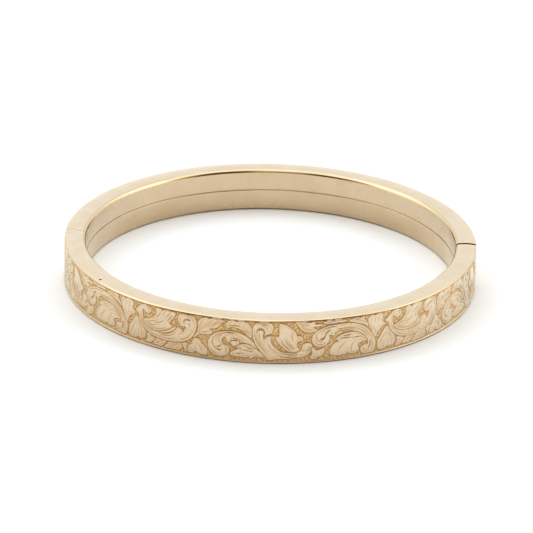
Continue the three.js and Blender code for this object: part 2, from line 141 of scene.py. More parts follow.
OUTLINES = {
    "foot_leaf_1": [
        (31.2, 2.0), (31.8, 1.8), (32.4, 1.55), (32.5, 1.15), (32.1, 0.95), (31.6, 0.66),
        (31.0, 0.7), (31.3, 1.25),
    ],
    "foot_leaf_2": [
        (34.6, 1.62), (33.7, 1.66), (32.9, 1.5), (32.75, 1.2), (32.4, 0.95), (32.55, 0.62),
        (33.1, 0.7), (33.4, 0.52), (33.9, 0.72), (34.2, 1.1),
    ],
    "foot_leaf_3": [
        (37.5, 1.8), (36.6, 1.68), (35.6, 1.6), (34.9, 1.35), (34.75, 1.05), (34.3, 0.78),
        (34.5, 0.52), (35.2, 0.62), (35.6, 0.5), (36.2, 0.66), (36.6, 0.52), (37.0, 0.9),
        (37.3, 1.3),
    ],
    "foot_leaf_4": [
        (37.3, 1.75), (37.9, 2.0), (38.25, 1.8), (38.1, 1.3), (38.2, 0.8), (37.7, 0.62),
        (37.55, 1.1),
    ],
    "shield_leaf": [
        (38.4, 1.9), (38.85, 2.3), (39.1, 2.95), (39.6, 3.05), (40.0, 2.85), (40.15, 2.5),
        (40.5, 2.2), (40.9, 1.8), (41.15, 1.4), (41.2, 1.0), (41.0, 0.64), (40.2, 0.62),
        (39.85, 0.8), (39.35, 1.05), (39.0, 0.75), (38.35, 0.62), (38.15, 1.0), (38.25, 1.5),
    ],
    "rising_leaf": [
        (39.1, 3.15), (39.45, 3.75), (39.7, 4.3), (39.78, 5.0), (39.78, 5.6), (40.05, 6.1),
        (40.45, 6.4), (40.9, 6.72), (41.15, 6.65), (41.32, 6.38), (41.75, 6.62), (42.3, 6.76),
        (43.0, 6.74), (43.6, 6.52), (43.72, 6.32), (43.3, 6.1), (43.0, 5.7), (42.7, 5.3),
        (42.2, 5.06), (41.7, 5.0), (41.3, 4.86), (41.7, 4.68), (41.92, 4.4), (41.6, 4.08),
        (41.0, 3.95), (40.3, 3.95), (39.8, 3.75),
    ],
    "cup_scroll": [
        (29.05, 5.2), (29.5, 5.75), (30.1, 6.3), (30.75, 6.62), (31.4, 6.5), (31.8, 6.15),
        (31.82, 5.68), (31.5, 5.36), (31.05, 5.3), (30.72, 5.5), (30.5, 5.85), (30.28, 5.6),
        (30.2, 5.2), (30.25, 4.7), (30.45, 4.1), (30.8, 3.5), (31.4, 3.05), (32.1, 2.8),
        (33.0, 2.66), (34.0, 2.6), (34.9, 2.75), (35.5, 3.1), (36.0, 3.55), (36.35, 4.02),
        (36.55, 4.22), (36.9, 4.1), (37.12, 3.75), (37.2, 3.35), (37.5, 3.75), (37.85, 4.35),
        (37.65, 4.62), (37.2, 4.58), (36.78, 4.9), (36.52, 5.4), (36.58, 5.95), (36.95, 6.4),
        (37.6, 6.6), (38.3, 6.6), (38.95, 6.35), (39.32, 5.8), (39.42, 5.0), (39.28, 4.2),
        (38.95, 3.4), (38.4, 2.76), (37.6, 2.25), (36.6, 1.95), (35.4, 1.76), (34.0, 1.76),
        (32.8, 1.86), (31.8, 2.12), (30.9, 2.62), (30.2, 3.3), (29.76, 4.1), (29.5, 4.85),
    ],
    "cup_leaf": [
        (30.62, 4.12), (31.2, 4.3), (31.75, 4.5), (32.2, 4.85), (32.7, 5.3), (32.86, 5.9),
        (32.7, 6.3), (32.95, 6.55), (33.4, 6.6), (33.72, 6.4), (33.9, 6.16), (34.2, 6.42),
        (34.8, 6.6), (35.6, 6.58), (36.0, 6.34), (35.92, 5.9), (35.5, 5.3), (35.18, 4.9),
        (34.95, 4.55), (35.3, 4.4), (35.52, 4.2), (35.3, 3.85), (34.8, 3.4), (34.2, 3.08),
        (33.4, 2.94), (32.6, 2.95), (31.9, 3.08), (31.2, 3.42), (30.8, 3.8),
    ],
    "cup_blade": [
        (33.6, 2.8), (34.5, 2.98), (35.3, 3.32), (35.9, 3.8), (36.1, 4.1), (35.8, 4.0),
        (35.2, 3.55), (34.5, 3.14),
    ],
    "hooded_leaf": [
        (44.1, 5.5), (44.05, 5.95), (44.3, 6.3), (44.6, 6.68), (45.3, 6.7), (45.66, 6.5),
        (46.0, 6.74), (46.7, 6.7), (47.15, 6.4), (47.55, 5.95), (47.8, 5.4), (47.84, 4.7),
        (47.72, 4.1), (47.3, 4.4), (46.85, 4.85), (46.4, 5.22), (45.8, 5.48), (45.2, 5.58),
        (44.7, 5.6), (44.4, 5.38),
    ],
    "round_scroll": [
        (48.9, 2.35), (48.2, 3.15), (47.4, 3.95), (46.5, 4.5), (45.6, 4.8), (44.6, 4.86),
        (43.6, 4.76), (42.7, 4.46), (42.0, 3.95), (41.52, 3.3), (41.35, 2.6), (41.45, 1.9),
        (41.8, 1.3), (42.4, 0.9), (43.2, 0.76), (43.9, 0.95), (44.34, 1.4), (44.45, 1.9),
        (44.3, 2.34), (44.0, 2.58), (43.65, 2.6), (43.38, 2.9), (43.36, 3.4), (43.6, 3.8),
        (43.92, 4.0), (44.08, 3.6), (44.3, 3.2), (44.48, 3.02), (44.62, 3.3), (44.9, 3.5),
        (45.5, 3.52), (46.2, 3.36), (47.0, 3.18), (47.8, 2.8), (48.4, 2.42), (48.9, 2.1),
    ],
    "lying_leaf": [
        (44.75, 1.25), (45.1, 1.7), (45.6, 2.0), (46.1, 2.2), (45.7, 2.45), (45.95, 2.74),
        (46.4, 2.92), (47.0, 2.98), (47.6, 2.78), (48.1, 2.42), (48.8, 2.06), (49.3, 1.6),
        (49.85, 1.05), (49.4, 1.04), (48.7, 1.14), (48.1, 1.0), (47.75, 0.7), (47.4, 1.2),
        (47.1, 0.9), (46.3, 0.98), (45.4, 0.98),
    ],
    "hook_scroll": [
        (50.35, 0.62), (49.7, 1.42), (49.0, 2.3), (48.46, 3.15), (48.12, 4.1), (48.02, 5.1),
        (48.16, 5.95), (48.6, 6.48), (49.3, 6.78), (50.1, 6.74), (50.7, 6.4), (50.95, 5.9),
        (50.9, 5.35), (50.74, 4.9), (50.72, 4.3), (50.62, 3.9), (50.68, 3.4), (50.95, 2.88),
        (51.4, 2.42), (52.0, 2.02), (52.8, 1.76), (53.6, 1.66), (54.4, 1.76), (55.05, 1.98),
        (55.38, 2.35), (55.42, 2.8), (55.62, 3.16), (56.1, 3.3), (56.6, 3.06), (56.8, 2.5),
        (56.6, 1.9), (56.1, 1.42), (55.4, 1.12), (54.3, 0.98), (53.0, 0.86), (51.5, 0.8),
    ],
    "standing_leaf": [
        (52.0, 6.4), (52.6, 6.32), (53.3, 5.92), (54.0, 5.3), (54.36, 4.75), (54.45, 4.42),
        (54.75, 4.44), (55.12, 4.34), (55.34, 4.06), (55.26, 3.76), (54.85, 3.66),
        (54.55, 3.4), (54.48, 2.95), (54.62, 2.5), (54.9, 2.22), (54.6, 2.0), (54.1, 1.92),
        (53.5, 2.0), (52.9, 2.32), (52.25, 2.9), (51.75, 3.5), (51.45, 4.1), (51.5, 4.4),
        (51.8, 4.34), (51.98, 4.6), (51.96, 5.4),
    ],
    "falling_leaf": [
        (54.2, 6.66), (54.6, 6.3), (54.9, 5.86), (55.25, 5.45), (55.7, 5.12), (56.3, 5.0),
        (57.0, 5.02), (57.6, 5.24), (57.1, 5.5), (56.6, 5.66), (57.3, 5.86), (58.2, 5.9),
        (58.3, 6.1), (57.5, 6.18), (56.9, 6.26), (57.3, 6.52), (56.9, 6.74), (56.5, 6.46),
        (56.1, 6.66), (55.2, 6.74),
    ],
    "foot_leaf_5": [
        (56.9, 2.45), (57.2, 2.12), (57.6, 2.0), (58.1, 2.12), (58.6, 2.3), (58.72, 1.9),
        (58.5, 1.4), (58.2, 1.02), (57.8, 1.0), (57.4, 0.7), (56.9, 0.64), (56.66, 0.9),
        (56.95, 1.5), (56.8, 2.0),
    ],
    "rim_leaf": [
        (58.5, 6.5), (59.1, 6.72), (60.0, 6.68), (60.6, 6.76), (61.3, 6.66), (62.0, 6.4),
        (61.5, 6.2), (60.7, 6.26), (60.2, 6.12), (59.4, 6.22), (58.9, 6.18),
    ],
    "arch_bud": [
        (45.9, 3.32), (45.2, 3.34), (44.75, 3.2), (44.9, 2.85), (45.2, 2.6), (45.6, 2.75),
        (45.95, 3.0),
    ],
    "brow_leaf": [
        (62.55, 6.16), (62.95, 6.54), (63.5, 6.7), (64.1, 6.58), (64.6, 6.68), (65.0, 6.46),
        (64.86, 6.12), (65.12, 5.76), (65.5, 5.3), (65.6, 4.9), (65.2, 5.2), (64.6, 5.5),
        (64.0, 5.72), (63.2, 5.9),
    ],
    "arch_scroll": [
        (66.45, 0.62), (66.76, 1.1), (66.92, 1.8), (66.86, 2.4), (66.6, 3.0), (66.1, 3.7),
        (65.4, 4.5), (64.6, 5.1), (63.7, 5.56), (62.7, 5.82), (61.6, 5.9), (60.4, 5.88),
        (59.4, 5.78), (58.5, 5.5), (57.7, 5.14), (57.1, 4.6), (56.84, 3.9), (56.96, 3.2),
        (57.4, 2.76), (58.1, 2.56), (58.8, 2.74), (59.26, 3.2), (59.4, 3.8), (59.3, 4.3),
        (59.7, 4.34), (60.15, 4.15), (60.22, 4.5), (60.5, 4.82), (61.2, 5.0), (62.0, 4.96),
        (62.8, 4.78), (63.5, 4.48), (64.3, 4.08), (65.0, 3.5), (65.5, 2.8), (65.75, 2.1),
        (65.2, 2.04), (64.7, 1.88), (64.46, 1.4), (64.6, 0.9), (65.0, 0.66), (65.8, 0.6),
    ],
    "arch_leaf": [
        (59.72, 1.1), (59.6, 1.8), (59.95, 2.5), (60.4, 3.0), (60.8, 3.14), (61.1, 3.3),
        (60.6, 3.46), (60.66, 3.76), (61.0, 4.02), (61.6, 4.26), (62.3, 4.36), (63.0, 4.34),
        (63.7, 4.2), (64.3, 3.9), (64.95, 3.34), (65.4, 2.7), (65.0, 2.7), (64.6, 2.6),
        (64.2, 2.44), (63.94, 2.2), (63.96, 1.8), (64.12, 1.46), (63.8, 1.08), (62.9, 1.0),
        (62.5, 1.14), (62.35, 1.6), (62.2, 1.1), (61.5, 0.96), (60.6, 0.92),
    ],
    "leaning_leaf": [
        (66.95, 2.9), (66.5, 3.6), (66.1, 4.4), (65.76, 5.2), (65.62, 6.0), (65.9, 6.4),
        (66.2, 6.72), (66.5, 6.42), (66.9, 6.64), (67.5, 6.7), (68.0, 6.42), (68.1, 5.9),
        (67.92, 5.4), (68.3, 4.9), (68.46, 4.6), (68.0, 4.42), (67.6, 4.1), (67.24, 3.8),
        (67.06, 3.4),
    ],
    "hanging_leaf": [
        (68.8, 4.25), (68.3, 3.7), (67.9, 3.0), (67.42, 2.3), (67.3, 1.4), (67.6, 0.78),
        (68.5, 0.72), (68.9, 0.98), (69.2, 1.06), (69.5, 0.8), (69.75, 0.98), (70.2, 1.1),
        (70.45, 1.7), (70.4, 2.2), (70.1, 2.6), (69.6, 3.2), (69.15, 3.9),
    ],
}

# Cuts into the ornament: (along, up, half width) on each point. Wide ones are open ground.
CUTS = [
    [(31.2, 4.1, 0.03), (31.8, 4.12, 0.07), (32.5, 4.38, 0.06), (33.3, 4.76, 0.02)],
    [(30.9, 4.0, 0.03), (31.5, 3.76, 0.07), (32.3, 3.66, 0.06), (33.5, 4.05, 0.02)],
    [(31.0, 3.74, 0.03), (31.8, 3.42, 0.06), (32.7, 3.36, 0.02)],
    [(31.6, 4.5, 0.02), (32.3, 4.72, 0.05), (33.2, 5.3, 0.02)],
    [(37.52, 4.95, 0.05), (37.46, 5.4, 0.1), (37.8, 5.68, 0.1), (38.3, 5.74, 0.09),
     (38.6, 5.6, 0.03)],
    [(37.6, 5.9, 0.02), (38.1, 6.02, 0.04), (38.62, 5.88, 0.02)],
    [(38.3, 5.12, 0.08), (38.44, 4.66, 0.05)],
    [(37.36, 3.3, 0.02), (37.95, 3.95, 0.05), (38.25, 4.45, 0.02)],
    [(37.8, 3.1, 0.02), (38.4, 3.8, 0.04), (38.75, 4.5, 0.02)],
    [(32.2, 2.5, 0.02), (33.4, 2.26, 0.04), (34.8, 2.24, 0.02)],
    [(39.35, 3.6, 0.02), (39.95, 4.5, 0.06), (40.7, 5.25, 0.05), (41.25, 5.95, 0.03)],
    [(39.6, 3.75, 0.02), (40.2, 4.5, 0.05), (40.9, 5.05, 0.04), (41.35, 5.4, 0.02)],
    [(39.55, 3.55, 0.02), (40.3, 4.2, 0.05), (41.2, 4.5, 0.02)],
    [(40.0, 4.9, 0.02), (40.6, 5.6, 0.04), (41.0, 6.1, 0.02)],
    [(38.9, 2.2, 0.02), (38.55, 1.95, 0.08), (38.2, 1.9, 0.02)],
    [(37.3, 1.5, 0.03), (37.56, 0.7, 0.09)],
    [(47.6, 4.3, 0.02), (47.1, 4.8, 0.06), (46.3, 5.5, 0.02)],
    [(47.66, 4.5, 0.02), (47.2, 5.0, 0.06), (46.6, 5.6, 0.02)],
    [(47.7, 4.7, 0.02), (47.35, 5.1, 0.05), (46.9, 5.7, 0.02)],
    [(47.74, 4.9, 0.02), (47.3, 5.7, 0.04)],
    [(43.95, 4.1, 0.05), (44.8, 4.34, 0.05), (45.8, 4.24, 0.05), (46.7, 3.8, 0.05),
     (48.3, 2.8, 0.02)],
    [(42.2, 3.4, 0.02), (41.98, 2.8, 0.07), (42.2, 2.2, 0.08), (42.7, 1.82, 0.08),
     (43.3, 1.76, 0.06), (43.6, 2.1, 0.02)],
    [(42.6, 2.12, 0.05), (43.0, 2.3, 0.1), (43.34, 2.5, 0.06)],
    [(43.2, 4.2, 0.02), (42.95, 3.6, 0.05), (42.72, 2.95, 0.03)],
    [(47.3, 2.28, 0.09), (47.8, 2.26, 0.05), (48.4, 2.1, 0.02)],
    [(47.4, 1.86, 0.04), (48.0, 1.86, 0.05), (48.7, 1.74, 0.02)],
    [(45.9, 2.3, 0.03), (46.25, 2.26, 0.1)],
    [(48.56, 4.9, 0.04), (48.72, 5.36, 0.11), (49.15, 5.56, 0.14), (49.58, 5.34, 0.13),
     (49.7, 4.9, 0.12), (49.62, 4.4, 0.12), (49.85, 4.12, 0.13)],
    [(49.95, 4.45, 0.12), (50.4, 4.6, 0.15), (50.8, 4.62, 0.16)],
    [(48.9, 5.8, 0.02), (49.5, 5.96, 0.05), (50.02, 5.72, 0.06), (50.22, 5.2, 0.05)],
    [(48.96, 4.95, 0.03), (48.98, 4.2, 0.06), (49.2, 3.5, 0.07), (49.75, 2.85, 0.03)],
    [(49.52, 4.4, 0.06), (49.6, 3.9, 0.07), (49.8, 3.3, 0.03)],
    [(50.3, 4.2, 0.02), (50.15, 3.7, 0.04), (50.2, 3.2, 0.02)],
    [(50.75, 2.4, 0.05), (51.3, 2.04, 0.07), (52.1, 1.64, 0.05), (53.1, 1.4, 0.04),
     (54.3, 1.36, 0.04), (55.3, 1.56, 0.02)],
    [(50.8, 1.96, 0.03), (51.5, 1.6, 0.06), (52.4, 1.26, 0.02)],
    [(55.15, 2.0, 0.03), (55.75, 2.0, 0.06), (56.2, 2.24, 0.06), (56.38, 2.7, 0.03)],
    [(52.45, 3.3, 0.02), (53.0, 2.7, 0.07), (53.7, 2.06, 0.07)],
    [(53.1, 4.1, 0.03), (53.12, 3.4, 0.05), (53.5, 2.75, 0.07), (54.0, 2.2, 0.04)],
    [(53.6, 3.2, 0.03), (53.8, 2.7, 0.06), (54.15, 2.24, 0.04)],
    [(53.95, 3.05, 0.03), (54.1, 2.7, 0.06), (54.3, 2.4, 0.03)],
    [(55.0, 6.1, 0.02), (55.5, 5.8, 0.06), (56.3, 5.75, 0.02)],
    [(56.3, 6.6, 0.09), (56.15, 6.3, 0.02)],
    [(59.65, 5.18, 0.03), (59.1, 4.86, 0.12), (58.86, 4.45, 0.11), (58.72, 4.05, 0.1),
     (58.5, 3.82, 0.16), (58.12, 3.7, 0.13)],
    [(57.56, 4.6, 0.02), (57.44, 4.1, 0.08), (57.64, 3.6, 0.08), (58.05, 3.34, 0.08),
     (58.5, 3.42, 0.03)],
    [(58.2, 4.25, 0.02), (58.38, 4.7, 0.06), (58.8, 5.15, 0.02)],
    [(61.4, 5.28, 0.02), (62.6, 5.22, 0.06), (63.7, 4.9, 0.07), (64.7, 4.25, 0.07),
     (65.45, 3.4, 0.02)],
    [(60.2, 5.6, 0.02), (60.5, 5.4, 0.06)],
    [(66.0, 2.7, 0.04), (66.04, 2.1, 0.11), (65.9, 1.56, 0.11), (65.66, 1.2, 0.06)],
    [(62.95, 3.3, 0.04), (63.7, 3.52, 0.07), (64.4, 3.42, 0.06), (65.2, 2.9, 0.03)],
    [(63.3, 3.0, 0.02), (64.2, 3.06, 0.05), (64.95, 2.84, 0.03)],
    [(63.2, 3.9, 0.02), (64.0, 3.9, 0.05), (64.8, 3.4, 0.02)],
    [(66.3, 4.1, 0.02), (66.12, 4.8, 0.05), (66.1, 5.3, 0.02)],
    [(66.75, 3.8, 0.02), (66.56, 4.5, 0.06), (66.6, 5.1, 0.02)],
    [(67.0, 3.9, 0.02), (67.1, 4.6, 0.04), (67.3, 5.0, 0.02)],
    [(68.95, 3.7, 0.02), (68.86, 3.1, 0.06), (68.9, 2.5, 0.02)],
    [(69.2, 3.6, 0.02), (69.3, 3.0, 0.06), (69.4, 2.4, 0.02)],
    [(68.7, 3.7, 0.02), (68.5, 3.2, 0.04), (68.4, 2.7, 0.02)],
    [(64.3, 6.2, 0.02), (64.8, 5.8, 0.05), (65.3, 5.2, 0.02)],
    [(57.3, 1.9, 0.03), (57.6, 1.5, 0.05), (57.7, 1.1, 0.02)],
]

# Fine graver lines that follow the leaves and stems, (along, up), all of one tapering width.
FLUTES = [
    [(31.3, 3.6), (32.4, 3.2), (33.6, 3.3), (34.6, 3.8)], [(32.4, 4.1), (33.4, 4.3), (34.2, 4.8)],
    [(32.9, 5.0), (33.4, 5.6), (33.5, 6.1)], [(34.3, 5.2), (34.9, 5.8), (35.3, 6.3)],
    [(33.9, 5.5), (34.3, 6.0)], [(34.6, 4.7), (35.1, 5.3), (35.5, 5.9)],
    [(29.9, 4.9), (30.2, 3.9), (31.0, 2.95), (32.2, 2.35)],
    [(31.0, 2.75), (32.4, 2.15), (34.2, 2.0), (36.0, 2.2)],
    [(33.2, 2.45), (34.8, 2.5), (35.8, 3.0), (36.3, 3.6)],
    [(36.4, 2.1), (37.6, 2.6), (38.5, 3.4), (39.0, 4.5)],
    [(39.1, 4.9), (38.95, 5.8), (38.4, 6.3), (37.6, 6.35)], [(36.85, 5.9), (36.8, 5.4), (37.0, 5.0)],
    [(36.6, 2.9), (36.9, 3.4)], [(30.9, 6.2), (31.3, 6.25), (31.55, 5.95), (31.4, 5.65)],
    [(39.8, 4.6), (40.1, 5.4), (40.5, 6.1)], [(40.9, 5.2), (41.6, 5.9), (42.0, 6.4)],
    [(41.3, 5.3), (42.2, 5.8), (42.9, 6.4)], [(40.3, 4.15), (41.0, 4.3), (41.5, 4.5)],
    [(41.9, 5.3), (42.6, 5.8), (43.2, 6.3)], [(38.7, 1.4), (38.7, 1.0)],
    [(39.8, 2.2), (40.2, 1.6), (40.5, 1.0)], [(39.3, 2.0), (39.5, 1.5)], [(40.3, 2.0), (40.7, 1.4)],
    [(44.5, 5.9), (44.8, 6.4)], [(45.2, 5.8), (45.4, 6.3)], [(45.9, 5.7), (46.1, 6.3)],
    [(46.5, 5.6), (46.8, 6.2)], [(44.3, 5.7), (45.4, 5.85), (46.3, 5.7)],
    [(41.7, 2.6), (42.1, 3.5), (42.9, 4.2), (44.0, 4.6), (45.4, 4.6), (46.6, 4.1)],
    [(41.75, 1.8), (42.3, 1.15), (43.1, 1.0)], [(43.9, 1.3), (44.1, 1.9), (43.8, 2.3)],
    [(42.4, 3.2), (42.9, 3.9), (43.6, 4.3)], [(44.6, 3.7), (45.6, 3.8), (46.6, 3.5)],
    [(42.9, 3.3), (43.1, 2.95)], [(45.3, 1.3), (46.2, 1.5), (47.0, 1.5)],
    [(46.0, 2.0), (46.9, 2.0), (47.5, 1.9)], [(46.5, 2.6), (47.3, 2.55), (48.0, 2.2)],
    [(48.2, 1.5), (49.0, 1.3)], [(45.8, 1.2), (46.8, 1.2)],
    [(48.3, 5.6), (48.3, 4.6), (48.7, 3.4), (49.4, 2.4), (50.2, 1.5)],
    [(48.7, 5.2), (48.65, 4.2), (49.0, 3.3), (49.8, 2.2), (50.6, 1.4)],
    [(48.6, 6.2), (49.3, 6.5), (50.2, 6.3), (50.6, 5.8)], [(50.3, 3.3), (50.5, 2.7), (51.1, 2.1)],
    [(51.6, 1.3), (53.0, 1.05), (54.6, 1.15)], [(52.0, 1.8), (53.4, 1.5), (54.8, 1.6)],
    [(55.9, 1.7), (56.4, 2.1), (56.5, 2.7)], [(49.2, 6.2), (50.0, 6.15), (50.4, 5.7)],
    [(53.8, 5.0), (53.8, 4.2), (53.9, 3.5)], [(52.1, 4.0), (52.6, 3.2), (53.2, 2.5)],
    [(52.7, 4.1), (53.1, 3.2), (53.8, 2.5)], [(53.3, 3.7), (53.6, 3.0), (54.1, 2.4)],
    [(52.1, 3.5), (52.7, 2.8), (53.5, 2.2)], [(54.5, 4.1), (55.0, 4.0)],
    [(54.7, 6.5), (55.3, 6.2), (56.2, 6.1)], [(55.3, 5.7), (56.1, 5.4), (57.0, 5.3)],
    [(59.3, 6.5), (60.4, 6.45)], [(63.0, 6.3), (63.8, 6.2), (64.5, 5.9)], [(63.4, 6.5), (64.2, 6.3)],
    [(57.3, 4.3), (57.9, 4.9), (58.9, 5.4), (60.3, 5.65), (62.0, 5.65)],
    [(62.6, 5.6), (63.9, 5.2), (65.1, 4.4), (66.1, 3.2), (66.6, 2.1)],
    [(60.4, 5.1), (61.6, 5.15), (62.8, 4.98), (63.9, 4.5)], [(64.2, 4.6), (65.2, 3.9), (65.9, 2.9)],
    [(66.3, 2.6), (66.45, 1.8), (66.3, 1.1)], [(57.2, 3.6), (57.6, 3.0), (58.3, 2.85), (58.9, 3.2)],
    [(64.8, 1.6), (65.1, 1.1), (65.6, 1.0)], [(59.6, 4.9), (59.9, 4.5)],
    [(60.8, 1.3), (61.2, 2.2), (62.0, 2.9)], [(61.2, 3.9), (62.2, 4.0), (63.2, 3.9)],
    [(62.9, 1.4), (63.0, 2.2), (63.5, 2.9)], [(61.0, 3.6), (62.2, 3.6), (63.2, 3.5)],
    [(66.0, 5.6), (66.2, 6.2)], [(66.7, 5.4), (66.8, 6.2)], [(67.2, 5.3), (67.4, 6.2)],
    [(67.2, 4.4), (67.8, 4.6)], [(66.9, 3.5), (66.8, 4.2)], [(67.7, 1.2), (68.0, 2.2), (68.5, 3.2)],
    [(68.3, 1.1), (68.5, 2.0)], [(69.8, 1.3), (69.7, 2.2), (69.3, 3.1)], [(69.2, 1.4), (69.1, 2.2)],
    [(70.1, 1.5), (70.0, 2.2)], [(31.5, 1.6), (31.9, 1.3)], [(34.3, 1.5), (33.6, 1.3), (33.0, 0.9)],
    [(34.2, 1.3), (33.7, 0.9)], [(37.2, 1.6), (36.2, 1.4), (35.2, 0.95)], [(37.0, 1.3), (36.3, 0.9)],
    [(58.8, 6.4), (60.0, 6.45), (61.4, 6.45)], [(57.2, 1.2), (57.1, 0.9)], [(58.0, 1.9), (58.2, 1.4)],
]
FLUTE_WIDTH = 0.07
MATTING_ROW = 0.3
MATTING_PITCH = 0.34

# Single punch marks, (along, up).
PUNCHES = [
    (35.6, 2.3), (36.2, 2.5), (36.75, 2.74), (35.1, 2.2), (35.9, 2.12), (37.2, 2.6),
    (39.0, 2.6), (39.3, 2.35), (39.3, 2.75), (39.6, 2.55), (39.0, 2.15), (39.7, 2.2),
    (44.9, 3.95), (45.2, 4.1), (45.5, 3.8), (45.8, 4.0), (46.1, 3.7), (46.4, 3.85), (46.7, 3.55),
    (49.95, 2.5), (50.4, 2.1), (52.3, 1.0), (54.3, 1.1), (55.3, 1.3), (35.7, 0.95),
    (35.0, 1.1), (36.2, 1.2), (34.5, 0.9), (30.9, 1.0), (33.1, 1.1),
]
PUNCH_RADIUS = 0.07


def smooth_step(x):
    x = np.clip(x, 0, 1)
    return x * x * (3 - 2 * x)


def smooth_curve(points, closed, steps=5):
    """Catmull-Rom curve through the points, all columns interpolated."""
    p = np.array(points, float)
    count = len(p)
    out = []
    spans = count if closed else count - 1
    for k in range(spans):
        if closed:
            a, b, c, d = (p[(k + j) % count] for j in (-1, 0, 1, 2))
        else:
            a, b, c, d = (p[min(max(k + j, 0), count - 1)] for j in (-1, 0, 1, 2))
        for t in np.arange(steps) / steps:
            out.append(
                0.5
                * (
                    2 * b
                    + (c - a) * t
                    + (2 * a - 5 * b + 4 * c - d) * t * t
                    + (3 * b - a - 3 * c + d) * t ** 3
                )
            )
    if not closed:
        out.append(p[-1])
    return np.array(out)


def segment_distance(x, y, a, b):
    """Distance from each point to each segment, and how far along it the nearest place is."""
    ab = b - a
    length = np.maximum((ab ** 2).sum(1), 1e-12)
    t = ((x[:, None] - a[:, 0]) * ab[:, 0] + (y[:, None] - a[:, 1]) * ab[:, 1]) / length
    t = np.clip(t, 0, 1)
    dx = x[:, None] - a[:, 0] - t * ab[:, 0]
    dy = y[:, None] - a[:, 1] - t * ab[:, 1]
    return np.sqrt(dx * dx + dy * dy), t


def inside_depth(x, y, outline):
    """How deep each point is inside a closed outline; negative outside."""
    a = outline
    b = np.roll(outline, -1, axis=0)
    distance = segment_distance(x, y, a, b)[0].min(1)
    above = (a[:, 1] > y[:, None]) != (b[:, 1] > y[:, None])
    rise = np.where(np.abs(b[:, 1] - a[:, 1]) < 1e-9, 1e-9, b[:, 1] - a[:, 1])
    crossing = a[:, 0] + (y[:, None] - a[:, 1]) / rise * (b[:, 0] - a[:, 0])
    odd = (above & (x[:, None] < crossing)).sum(1) % 2 == 1
    return np.where(odd, distance, -distance)


def stroke_depth(x, y, stroke):
    """How deep each point is inside a stroke whose third column is its half width."""
    a = stroke[:-1]
    b = stroke[1:]
    distance, t = segment_distance(x, y, a[:, :2], b[:, :2])
    width = a[:, 2] + t * (b[:, 2] - a[:, 2])
    return (width - distance).max(1), width.max()


def near(along, up, shape, margin):
    low = shape[:, :2].min(0) - margin
    high = shape[:, :2].max(0) + margin
    return np.nonzero((along > low[0]) & (along < high[0]) & (up > low[1]) & (up < high[1]))[0]


def shifted(points, offset):
    return [(p[0] + offset,) + tuple(p[1:]) for p in points]


def flute_stroke(points):
    """A graver line, thin at both ends."""
    count = len(points)
    widths = [FLUTE_WIDTH * math.sin(math.pi * (k + 0.5) / count) for k in range(count)]
    return [point + (width,) for point, width in zip(points, widths)]


def ornament(along, up):
    """Relief of the ornament, 0 on the cut-back ground and 1 where raised, and its cut lines, with a
    painted reflection line along the top.
    """
    height = np.zeros_like(along)
    lines = np.zeros_like(along)
    along = along - START
    for k in range(FIRST_REPEAT, FIRST_REPEAT + REPEATS):
        for points in OUTLINES.values():
            outline = smooth_curve(shifted(points, k * REPEAT), True)
            where = near(along, up, outline, MOAT + SPREAD)
            if not len(where):
                continue
            depth = inside_depth(along[where], up[where], outline) + SPREAD
            wander = smooth_step(0.75 + np.sin(2.1 * along[where] + 1.7 * up[where] + 2 * k))
            contour = CONTOUR_LEVEL * wander * np.exp(-(((depth - CONTOUR) / CONTOUR_WIDTH) ** 2))
            raised = EDGE_SHARE * smooth_step(depth / EDGE)
            raised = raised + (1 - EDGE_SHARE) * smooth_step(depth / PILLOW)
            beside = smooth_step(-depth / MOAT)
            inside = depth > 0
            height[where] = np.where(inside, raised * (1 - contour), height[where] * beside)
            rim = np.exp(-((depth / LINE_WIDTH) ** 2))
            lines[where] = np.maximum(rim, np.where(inside, contour, lines[where] * beside))
        for points in CUTS + [flute_stroke(flute) for flute in FLUTES]:
            stroke = smooth_curve(shifted(points, k * REPEAT), False)
            where = near(along, up, stroke, CUT_REACH)
            if not len(where):
                continue
            depth, width = stroke_depth(along[where], up[where], stroke)
            reach = min(CUT_STRENGTH_MOST, 0.25 + 5 * width)
            height[where] *= 1 - reach * smooth_step((depth + 0.03) / SOFTNESS)
            lines[where] = np.maximum(lines[where], reach * smooth_step((depth + 0.05) / 0.1))
        for x, y in PUNCHES:
            distance = np.hypot(along - x - k * REPEAT, up - y)
            mark = PUNCH_STRENGTH * smooth_step(1.6 - distance / PUNCH_RADIUS)
            height *= 1 - mark
            lines = np.maximum(lines, mark)
    # A dark golden line painted along the top of the wall, under the border: a painted reflection of the
    # rim, with no cut in the relief.
    lines = np.maximum(lines, TOP_DARK_REFLECTION_STRENGTH * smooth_step((up - TOP_DARK_REFLECTION_LOW) / SOFTNESS))
    foot_border = smooth_step((BORDER_LOW - up) / SOFTNESS)
    border = np.maximum(foot_border, smooth_step((up - BORDER_HIGH) / SOFTNESS))
    return np.maximum(height, border), lines * (1 - border)


def ground_texture(along, up):
    """Fine matting punched into the cut-back ground, from -1 to 1."""
    row = up / MATTING_ROW
    wander = 0.25 * np.sin(3.1 * row) + 0.3 * np.sin(0.7 * along)
    first = np.sin(2 * math.pi * (along / MATTING_PITCH + wander))
    second = np.sin(2 * math.pi * row + 0.9 * np.sin(2.3 * along))
    return first * second


